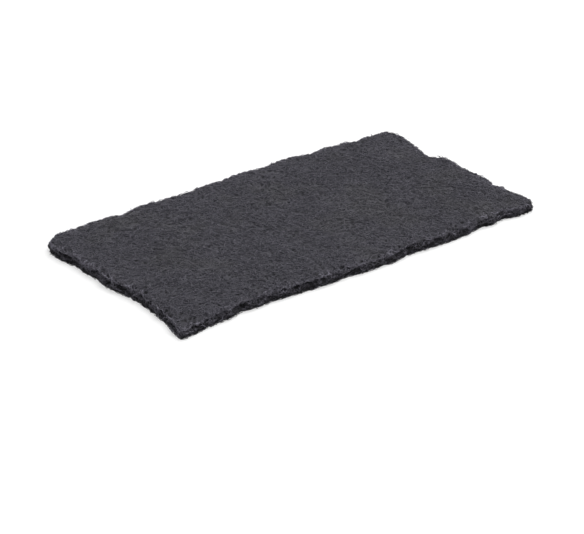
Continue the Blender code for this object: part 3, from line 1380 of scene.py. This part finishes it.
@dataclass(frozen=True)
class FibreKind:
    """One kind of fibre: how many there are, how big they are, how they lie and how light they are.

    The lifts are how far a fibre's start, middle and end stand off the skin. Its crimp swings it
    sideways, and by a share of that up and down. Low on the strip it stands out less, to keep off
    the surface that the strip lies on.
    """

    zone: Zone
    count: int
    segments: int
    length: Span
    thickness: Span
    start_lift: Span
    middle_lift: Span
    end_lift: Span
    crimp_depth: Span
    crimp_length: Span
    rise_share: float = 0.35
    rise_pace: float = 0.83
    low_height: float = 0.0025
    low_share: float = 0.1
    turn: float = 0.25
    along_edge: float = 0.0
    tone: Span = Span(0.15, 0.45)
    bright_share: float = 0.05
    # Painted light and shade: lighter on the waves' crests, darker in their troughs and low down, lighter
    # higher up and near the rim
    painted_shade_waves: Waves = LUMPS
    painted_shade_swing: float = 0.15
    painted_shade_height: float = 0.0065
    painted_shade_rise: float = 0.0
    tone_spread: float = 0.0
    painted_rim_light: float = 0.0
    near: Patch | None = None
    spare: float = 0.0
    beads: int = 0
    # How light the resin beads are: partly the resin's own colour and partly a painted glint
    bead_tone_and_glint: float = 1.0

    def headings(self, normals: np.ndarray, rng: np.random.Generator) -> np.ndarray:
        """Choose the way that each fibre sets off, level with the skin.

        Args:
            normals: The skin's normals where the fibres start.
            rng: The source of chance.

        Returns:
            One direction for each fibre.
        """
        loose = rng.normal(size=normals.shape)
        level = np.cross(normals, np.array([0.0, 0.0, 1.0]))
        level *= rng.choice([-1.0, 1.0], size=len(level))[:, None]
        mixed = unit(loose) * (1.0 - self.along_edge) + unit(level) * self.along_edge
        mixed -= normals * (mixed * normals).sum(1, keepdims=True)
        return unit(mixed)

    def walk(self, skin: Skin, count: int, rng: np.random.Generator) -> tuple[np.ndarray, np.ndarray]:
        """Walk fibres over the skin.

        Args:
            skin: The skin to lay them on.
            count: How many fibres.
            rng: The source of chance.

        Returns:
            The points along each fibre, and the skin's normals at them.
        """
        place, normal = skin.scatter(self.zone, count, rng, self.near)
        heading = self.headings(normal, rng)
        length = self.length.draw(rng, count)
        stride = length / self.segments
        wave = 2.0 * math.pi / self.crimp_length.draw(rng, count)
        depth = self.crimp_depth.draw(rng, count)
        phase = rng.uniform(0.0, 2.0 * math.pi, (2, count))
        lifts = [span.draw(rng, count) for span in (self.start_lift, self.middle_lift, self.end_lift)]
        points, normals = [], []
        for step in range(self.segments + 1):
            share = step / self.segments
            run = length * share
            side = np.cross(normal, heading)
            sideways = depth * np.sin(wave * run + phase[0])
            upwards = bowed(*lifts, share)
            upwards += self.rise_share * depth * np.sin(wave * self.rise_pace * run + phase[1])
            lowered = upwards * np.clip(place[:, 2] / self.low_height, self.low_share, 1.0)
            upwards = np.where(upwards > 0.0, lowered, upwards)
            points.append(place + side * sideways[:, None] + normal * upwards[:, None])
            normals.append(normal)
            bend = rng.normal(0.0, self.turn, count)[:, None]
            heading = unit(heading * np.cos(bend) + side * np.sin(bend))
            if step < self.segments:
                place, normal = skin.nearest(place + heading * stride[:, None])
                heading = unit(heading - normal * (heading * normal).sum(1, keepdims=True))
        return np.stack(points, axis=1), np.stack(normals, axis=1)

    def lay(self, skin: Skin, spots: OpenSpots, rng: np.random.Generator) -> tuple[np.ndarray, np.ndarray]:
        """Lay the fibres on the skin, and of any spare ones keep those that leave open spots free.

        Args:
            skin: The skin to lay them on.
            spots: The open spots of its working face.
            rng: The source of chance.

        Returns:
            The points along each fibre, and the skin's normals at them.
        """
        lines, normals = self.walk(skin, round(self.count * (1.0 + self.spare)), rng)
        if self.spare == 0.0:
            return lines, normals
        kept = np.sort(np.argsort(spots.crowding(lines), kind="stable")[: self.count])
        return spots.parted(lines[kept]), normals[kept]

    def tones(self, lines: np.ndarray, skin: Skin, rng: np.random.Generator) -> np.ndarray:
        """Choose how light each fibre is at each of its points.

        It gets painted light on the waves' crests and painted shade in their troughs, painted shade low
        down and painted light higher up, and painted light near the rim; a few fibres are bright all along.

        Args:
            lines: The points along each fibre.
            skin: The skin that they lie on.
            rng: The source of chance.

        Returns:
            One value from 0 to 1 for each point.
        """
        # Painted light on the crests of the waves and painted shade in their troughs
        crest = self.painted_shade_waves.at(lines.reshape(-1, 3)).reshape(lines.shape[:2]) / self.painted_shade_waves.depth
        tones = self.tone.draw(rng, self.count)[:, None] + self.painted_shade_swing * crest
        # Painted shade low down and painted light higher up
        tones += self.painted_shade_rise * (lines[..., 2] / self.painted_shade_height - 0.5)
        tones += rng.normal(0.0, 1.0, tones.shape) * self.tone_spread
        # Painted light near the rim
        if self.painted_rim_light:
            tones += self.painted_rim_light * skin.painted_rim_light_at(lines.reshape(-1, 3)).reshape(tones.shape)
        tones[rng.random(self.count) < self.bright_share] = 1.0
        return np.clip(tones, 0.0, 1.0)


@dataclass(frozen=True)
class FibreMap:
    """The bake map of a bundle: a cell for each fibre, and small cells in a strip for its small faces."""

    fibres: int
    small_faces: int
    rows_per_column: float = 9.0
    strip: float = 0.1
    end_margin: float = 0.03
    side_margin: float = 0.05
    small_x: tuple[float, ...] = (0.1, 0.9, 0.5)
    small_y: tuple[float, ...] = (0.1, 0.1, 0.9)

    def walls(self, first: int, count: int, segments: int, sides: int) -> np.ndarray:
        """Lay the walls of some fibres on the map.

        Args:
            first: The number of the first fibre.
            count: How many fibres.
            segments: How many segments each has.
            sides: How many sides each has.

        Returns:
            One row of X and Y for each corner, in the order of the faces.
        """
        columns = math.ceil(math.sqrt(self.fibres / self.rows_per_column))
        rows = math.ceil(self.fibres / columns)
        number = np.arange(first, first + count)[:, None, None, None]
        along = np.arange(segments)[None, :, None, None] + np.array([0, 0, 1, 1])
        around = np.arange(sides)[None, None, :, None] + np.array([0, 1, 1, 0])
        x = number % columns + self.end_margin + (1.0 - 2.0 * self.end_margin) * along / segments
        y = number // columns + self.side_margin + (1.0 - 2.0 * self.side_margin) * around / sides
        places = np.broadcast_arrays(x / columns, y / rows * (1.0 - self.strip))
        return np.stack(places, axis=-1).reshape(-1, 2)

    def small(self) -> np.ndarray:
        """Lay the small faces on the map.

        Returns:
            One row of X and Y for each corner, in the order of the faces.
        """
        columns = math.ceil(math.sqrt(self.small_faces / self.strip))
        rows = math.ceil(self.small_faces / columns)
        number = np.arange(self.small_faces)[:, None]
        x = (number % columns + np.array(self.small_x)) / columns
        y = 1.0 - self.strip + (number // columns + np.array(self.small_y)) / rows * self.strip
        return np.stack([x, y], axis=-1).reshape(-1, 2)


@dataclass
class FibreBundle:
    """Fibres of one or more kinds, as one piece of closed three-sided tubes with beads of resin."""

    name: str
    skin: Skin
    spots: OpenSpots
    kinds: list[FibreKind]
    seed: int
    sides: int = 3
    tip_share: float = 0.6
    swelling: Span = Span(0.8, 1.2)
    floor_gap: float = 0.00002
    floor_share: float = 1.25
    bead_size: Span = Span(1.3, 2.1)
    bead_corners: int = 6
    bead_faces: tuple[tuple[int, int, int], ...] = (
        (0, 2, 4), (2, 1, 4), (1, 3, 4), (3, 0, 4), (2, 0, 5), (1, 2, 5), (3, 1, 5), (0, 3, 5)
    )

    def rings(
        self, points: np.ndarray, normals: np.ndarray, radius: np.ndarray, rng: np.random.Generator
    ) -> np.ndarray:
        """Put a ring of points round each point of each fibre.

        Args:
            points: The points along each fibre.
            normals: The skin's normals at them.
            radius: Each fibre's half thickness.
            rng: The source of chance.

        Returns:
            An array of fibres, points along them, points round them and X, Y, Z.
        """
        ahead = unit(np.gradient(points, axis=1))
        side = unit(np.cross(ahead, normals))
        up = np.cross(side, ahead)
        taper = np.ones(points.shape[:2])
        taper[:, [0, -1]] = self.tip_share
        size = (radius[:, None] * taper * self.swelling.draw(rng, points.shape[:2]))[..., None]
        roll = rng.uniform(0.0, 2.0 * math.pi, len(points))[:, None]
        rings = []
        for number in range(self.sides):
            angle = (roll + 2.0 * math.pi * number / self.sides)[..., None]
            rings.append(points + size * (side * np.cos(angle) + up * np.sin(angle)))
        return np.stack(rings, axis=2)

    def faces(self, fibres: int, segments: int, first: int) -> tuple[np.ndarray, np.ndarray]:
        """Number the faces of some fibres.

        Args:
            fibres: How many fibres.
            segments: How many segments each has.
            first: The number of their first point.

        Returns:
            The four-cornered faces along the fibres, and the three-cornered ones at their ends.
        """
        shape = (fibres, segments + 1, self.sides)
        numbers = first + np.arange(math.prod(shape)).reshape(shape)
        around = np.roll(numbers, -1, axis=2)
        walls = np.stack([numbers[:, :-1], around[:, :-1], around[:, 1:], numbers[:, 1:]], axis=-1)
        ends = np.stack([numbers[:, 0, ::-1], numbers[:, -1]], axis=1)
        return walls.reshape(-1, 4), ends.reshape(-1, self.sides)

    def beads(
        self, kind: FibreKind, lines: np.ndarray, radius: np.ndarray, rng: np.random.Generator
    ) -> np.ndarray:
        """Put small eight-sided beads of resin on some of the fibres.

        Args:
            kind: The kind of fibre.
            lines: The points along each fibre.
            radius: Each fibre's half thickness.
            rng: The source of chance.

        Returns:
            The six corners of each bead.
        """
        fibre = rng.integers(0, len(lines), kind.beads)
        middle = lines[fibre, rng.integers(1, lines.shape[1] - 1, kind.beads)]
        first = unit(rng.normal(size=middle.shape))
        second = unit(np.cross(first, rng.normal(size=middle.shape)))
        axes = np.stack([first, second, np.cross(first, second)], axis=1)
        sizes = radius[fibre, None] * self.bead_size.draw(rng, (kind.beads, 3))
        reach = axes * sizes[..., None]
        corners = np.stack([middle[:, None] + reach, middle[:, None] - reach], axis=2)
        corners[..., 2] = np.maximum(corners[..., 2], self.floor_gap)
        return corners.reshape(-1, 3)

    def mesh(self) -> bpy.types.Mesh:
        """Build the mesh of every fibre and bead in the bundle.

        Returns:
            The mesh, which holds how light it is at each of its points.
        """
        rng = np.random.default_rng(self.seed)
        small_faces = sum(2 * kind.count + len(self.bead_faces) * kind.beads for kind in self.kinds)
        cells = FibreMap(sum(kind.count for kind in self.kinds), small_faces)
        points, walls, small, tones, places = [], [], [], [], []
        first, fibre = 0, 0
        for kind in self.kinds:
            lines, normals = kind.lay(self.skin, self.spots, rng)
            radius = kind.thickness.draw(rng, kind.count) / 2.0
            lines[..., 2] = np.maximum(lines[..., 2], radius[:, None] * self.floor_share + self.floor_gap)
            rings = self.rings(lines, normals, radius, rng).reshape(-1, 3)
            corners = self.beads(kind, lines, radius, rng)
            tone = kind.tones(lines, self.skin, rng).ravel()
            kind_walls, kind_ends = self.faces(kind.count, kind.segments, first)
            bead_first = first + len(rings) + self.bead_corners * np.arange(kind.beads)[:, None, None]
            points += [rings, corners]
            walls.append(kind_walls)
            small += [kind_ends, (bead_first + np.array(self.bead_faces)).reshape(-1, 3)]
            # The beads' tone is partly a painted glint
            tones += [np.repeat(tone, self.sides), np.full(len(corners), kind.bead_tone_and_glint)]
            places.append(cells.walls(fibre, kind.count, kind.segments, self.sides))
            first += len(rings) + len(corners)
            fibre += kind.count
        mesh = bpy.data.meshes.new(self.name)
        faces = np.concatenate(walls).tolist() + np.concatenate(small).tolist()
        mesh.from_pydata(np.concatenate(points).tolist(), [], faces)
        store(mesh, TONE, np.concatenate(tones))
        store_map(mesh, np.concatenate([*places, cells.small()]))
        return mesh

    def build(self, material: bpy.types.Material) -> bpy.types.Object:
        """Build the piece."""
        return add_piece(self.name, self.mesh(), material)


@dataclass
class Studio:
    """The pale floor, the soft light and the camera."""

    lens: float = 123.29
    sensor: float = 36.0
    azimuth: float = -38.117
    elevation: float = 27.081
    aim: tuple[float, float, float] = (-0.027093, -0.033882, 0.0)
    distance: float = 0.99492
    clip_start: float = 0.01
    clip_end: float = 50.0
    floor_size: float = 12.0
    lamp_size: float = 3.5
    lamp_place: tuple[float, float, float] = (1.45, 0.0, 3.2)
    lamp_power: float = 147.0
    world_level: float = 0.31

    def add_floor(self) -> bpy.types.Object:
        """Lay the floor under the strip.

        Returns:
            The floor.
        """
        half = self.floor_size / 2.0
        corners = [(-half, -half, 0.0), (half, -half, 0.0), (half, half, 0.0), (-half, half, 0.0)]
        mesh = bpy.data.meshes.new("floor")
        mesh.from_pydata(corners, [], [(0, 1, 2, 3)])
        mesh.materials.append(FloorFinish().build())
        floor = bpy.data.objects.new("floor", mesh)
        bpy.context.scene.collection.objects.link(floor)
        return floor

    def add_lamp(self) -> None:
        """Hang one large soft lamp over the strip."""
        lamp = bpy.data.lights.new("overhead_soft_lamp", "AREA")
        lamp.shape = "SQUARE"
        lamp.size = self.lamp_size
        lamp.energy = self.lamp_power
        holder = bpy.data.objects.new("overhead_soft_lamp", lamp)
        holder.location = self.lamp_place
        down = Vector((0.0, 0.0, 0.0)) - holder.location
        holder.rotation_euler = down.to_track_quat("-Z", "Y").to_euler()
        bpy.context.scene.collection.objects.link(holder)

    def add_world(self) -> None:
        """Fill the room with weak even light, and show it white behind the floor."""
        world = bpy.data.worlds.new("white_room")
        world.use_nodes = True
        bpy.context.scene.world = world
        bench = NodeBench(world.node_tree)
        background = world.node_tree.nodes["Background"]
        background.inputs["Color"].default_value = (1.0, 1.0, 1.0, 1.0)
        level = bench.ramp(bench.seen(), low=0.0, high=1.0, start=self.world_level, end=1.0)
        bench.join(level, background.inputs["Strength"])

    def add_camera(self) -> None:
        """Set up the camera."""
        turn, rise = math.radians(self.azimuth), math.radians(self.elevation)
        back = Vector((math.sin(turn) * math.cos(rise), -math.cos(turn) * math.cos(rise), math.sin(rise)))
        camera = bpy.data.cameras.new("camera")
        camera.lens = self.lens
        camera.sensor_width = self.sensor
        camera.sensor_fit = "HORIZONTAL"
        camera.clip_start = self.clip_start
        camera.clip_end = self.clip_end
        holder = bpy.data.objects.new("camera", camera)
        holder.location = Vector(self.aim) + back * self.distance
        holder.rotation_euler = back.to_track_quat("Z", "Y").to_euler()
        bpy.context.scene.collection.objects.link(holder)
        bpy.context.scene.camera = holder

    def build(self) -> bpy.types.Object:
        """Set up the whole studio.

        Returns:
            The floor.
        """
        bpy.context.scene.view_settings.view_transform = "Standard"
        self.add_camera()
        self.add_world()
        self.add_lamp()
        return self.add_floor()


# The finishes
OLIVE = (0.081, 0.080, 0.075, 1.0)
COATED_FIBRE = CoatedFibreFinish(
    name="coated_fibre",
    dark=(0.062, 0.060, 0.074, 1.0),
    light=(0.126, 0.121, 0.149, 1.0),
    grain_colour=(0.103, 0.100, 0.116, 1.0),
    tint=OLIVE,
    tint_share=0.25,
    depth=0.08,
)
# A darker copy of the coated fibre for the cut edge: its dark end is painted shade, and its light end,
# paler than the face's, is a painted highlight on strands that catch the light
SHADED_EDGE_FIBRE = CoatedFibreFinish(
    name="edge_fibre_painted_shade_and_highlight",
    dark=(0.0245, 0.0225, 0.0285, 1.0),
    light=(0.270, 0.258, 0.312, 1.0),
    grain_colour=(0.044, 0.042, 0.052, 1.0),
    tint=OLIVE,
    tint_share=0.1,
    depth=0.65,
    patch_size=0.0065,
)
MATTED_WEB = MattedWebFinish(
    name="matted_web",
    colour=(0.060, 0.058, 0.069, 1.0),
    # Painted shade in the gaps between the strands
    gap_shade_colour=(0.033, 0.032, 0.037, 1.0),
    # Near-black painted shade inside the web
    inside_shade_colour=(0.008, 0.008, 0.009, 1.0),
    tint=OLIVE,
    tint_share=0.2,
    depth=0.1,
)

# The kinds of fibre on the working face and the underside
FACE_FIBRE = FibreKind(
    zone=Zone.FACE,
    count=3600,
    segments=8,
    length=Span(0.006, 0.010),
    thickness=Span(0.00022, 0.00038),
    start_lift=Span(-0.0008, -0.0003),
    middle_lift=Span(-0.0002, 0.0002),
    end_lift=Span(-0.0008, -0.0003),
    crimp_depth=Span(0.0003, 0.0010),
    crimp_length=Span(0.003, 0.006),
    turn=0.35,
    # Painted light near the rim
    painted_rim_light=0.35,
    spare=0.35,
    beads=1200,
)
LOWER_FACE_FIBRE = replace(FACE_FIBRE, middle_lift=Span(-0.0003, 0.0001))
UPPER_FACE_FIBRE = replace(FACE_FIBRE, middle_lift=Span(-0.0001, 0.0003))
UNDERSIDE_FIBRE = FibreKind(
    zone=Zone.UNDERSIDE,
    count=1300,
    segments=7,
    length=Span(0.010, 0.016),
    thickness=Span(0.00024, 0.00036),
    start_lift=Span(-0.0007, -0.0004),
    middle_lift=Span(-0.0003, -0.0001),
    end_lift=Span(-0.0007, -0.0004),
    crimp_depth=Span(0.0002, 0.0007),
    crimp_length=Span(0.004, 0.008),
)

# The kinds of fibre on the rim and the cut edge, and the small tufts at the rim
RIM_STRAND = FibreKind(
    zone=Zone.RIM,
    count=1000,
    segments=7,
    length=Span(0.003, 0.006),
    thickness=Span(0.00022, 0.00036),
    start_lift=Span(-0.0007, -0.0002),
    middle_lift=Span(-0.0004, 0.0002),
    end_lift=Span(-0.0007, 0.0),
    crimp_depth=Span(0.0002, 0.0007),
    crimp_length=Span(0.002, 0.005),
    along_edge=0.2,
    tone=Span(0.03, 0.27),
    bright_share=0.0,
    # Painted light near the rim and on the fine nibbles' crests, painted shade in their troughs and low
    # down
    painted_rim_light=0.12,
    painted_shade_waves=FINE_NIBBLES,
    painted_shade_swing=0.3,
    painted_shade_rise=1.0,
    tone_spread=0.12,
    beads=400,
    bead_tone_and_glint=0.5,
)
DEEP_STRAND = FibreKind(
    zone=Zone.EDGE,
    count=600,
    segments=5,
    length=Span(0.004, 0.008),
    thickness=Span(0.00024, 0.00036),
    start_lift=Span(-0.0016, -0.0009),
    middle_lift=Span(-0.0012, -0.0006),
    end_lift=Span(-0.0016, -0.0009),
    crimp_depth=Span(0.0003, 0.0008),
    crimp_length=Span(0.003, 0.006),
    along_edge=0.7,
    tone=Span(0.0, 0.2),
    bright_share=0.0,
    # Painted shade in the furrows and painted light on their crests
    painted_shade_waves=FURROWS,
    painted_shade_swing=0.3,
)
EDGE_STRAND = FibreKind(
    zone=Zone.EDGE,
    count=1600,
    segments=7,
    length=Span(0.003, 0.007),
    thickness=Span(0.00020, 0.00034),
    start_lift=Span(-0.0010, -0.0004),
    middle_lift=Span(-0.0004, 0.0003),
    end_lift=Span(-0.0010, -0.0003),
    crimp_depth=Span(0.0003, 0.0008),
    crimp_length=Span(0.0025, 0.005),
    along_edge=0.65,
    tone=Span(-0.07, 0.36),
    bright_share=0.02,
    # Painted light near the rim, painted shade in the furrows and light on their crests, painted shade low
    # down and light higher up
    painted_rim_light=0.12,
    painted_shade_waves=FURROWS,
    painted_shade_swing=1.0,
    painted_shade_rise=1.0,
    tone_spread=0.3,
    beads=500,
    bead_tone_and_glint=0.6,
)
EDGE_LOOP = replace(
    EDGE_STRAND,
    count=600,
    length=Span(0.0025, 0.005),
    thickness=Span(0.00018, 0.00030),
    start_lift=Span(-0.0012, -0.0006),
    middle_lift=Span(0.0001, 0.0008),
    end_lift=Span(-0.0012, -0.0006),
    crimp_depth=Span(0.0003, 0.0009),
    crimp_length=Span(0.003, 0.005),
    turn=0.5,
    along_edge=0.3,
    tone=Span(-0.07, 0.51),
    bright_share=0.04,
    # Painted shade in the furrows and painted light on their crests
    painted_shade_swing=0.8,
    beads=200,
)
CUT_END = replace(
    EDGE_LOOP,
    count=1000,
    segments=4,
    length=Span(0.0008, 0.0024),
    start_lift=Span(-0.0010, -0.0006),
    middle_lift=Span(-0.0001, 0.0002),
    end_lift=Span(0.0002, 0.0009),
    crimp_depth=Span(0.0001, 0.0003),
    crimp_length=Span(0.003, 0.006),
    turn=0.25,
    along_edge=0.0,
    bright_share=0.06,
    tone_spread=0.2,
    beads=0,
)
STRAY_HAIR = FibreKind(
    zone=Zone.RIM,
    count=40,
    segments=7,
    length=Span(0.003, 0.007),
    thickness=Span(0.00010, 0.00016),
    start_lift=Span(-0.0006, -0.0003),
    middle_lift=Span(0.0002, 0.0008),
    end_lift=Span(0.0006, 0.0018),
    crimp_depth=Span(0.0002, 0.0005),
    crimp_length=Span(0.004, 0.008),
    turn=0.2,
)
NOTCH_TUFT = FibreKind(
    zone=Zone.RIM,
    count=18,
    segments=7,
    length=Span(0.0025, 0.0045),
    thickness=Span(0.00020, 0.00030),
    start_lift=Span(-0.0006, -0.0002),
    middle_lift=Span(0.0003, 0.0010),
    end_lift=Span(0.0003, 0.0020),
    crimp_depth=Span(0.0002, 0.0006),
    crimp_length=Span(0.003, 0.005),
    turn=0.3,
    near=Patch(0.1132, 0.0098, 0.0012),
)
CORNER_TUFT = replace(
    NOTCH_TUFT,
    count=26,
    length=Span(0.002, 0.004),
    thickness=Span(0.00020, 0.00032),
    start_lift=Span(-0.0001, 0.0003),
    end_lift=Span(-0.0002, 0.0007),
    turn=0.4,
    tone=Span(0.7, 1.0),
    near=Patch(-0.1112, -0.0596, 0.0026),
)
EDGE_KINDS = [RIM_STRAND, DEEP_STRAND, EDGE_STRAND, EDGE_LOOP, CUT_END, STRAY_HAIR, NOTCH_TUFT, CORNER_TUFT]


def main() -> None:
    """Build the studio and every piece of the strip, and report each."""
    logging.basicConfig(level=logging.INFO, format="%(name)s: %(message)s")
    floor = Studio().build()
    form = WebForm(SolidReader(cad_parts[NODE]).read())
    skin = form.skin()
    spots = OpenSpots(skin)
    shelf = EffectShelf()
    fibre = COATED_FIBRE.build(shelf)
    edge_fibre = SHADED_EDGE_FIBRE.build(shelf)
    core = WebCore(form, skin, spots).build(MATTED_WEB.build(shelf))
    fibres = [
        FibreBundle("face_fibres_lower", skin, spots, [LOWER_FACE_FIBRE], seed=11).build(fibre),
        FibreBundle("face_fibres_middle", skin, spots, [FACE_FIBRE], seed=12).build(fibre),
        FibreBundle("face_fibres_upper", skin, spots, [UPPER_FACE_FIBRE], seed=13).build(fibre),
        FibreBundle("edge_fibres", skin, spots, EDGE_KINDS, seed=14).build(edge_fibre),
        FibreBundle("underside_fibres", skin, spots, [UNDERSIDE_FIBRE], seed=15).build(fibre),
    ]


if __name__ == "__main__":
    main()
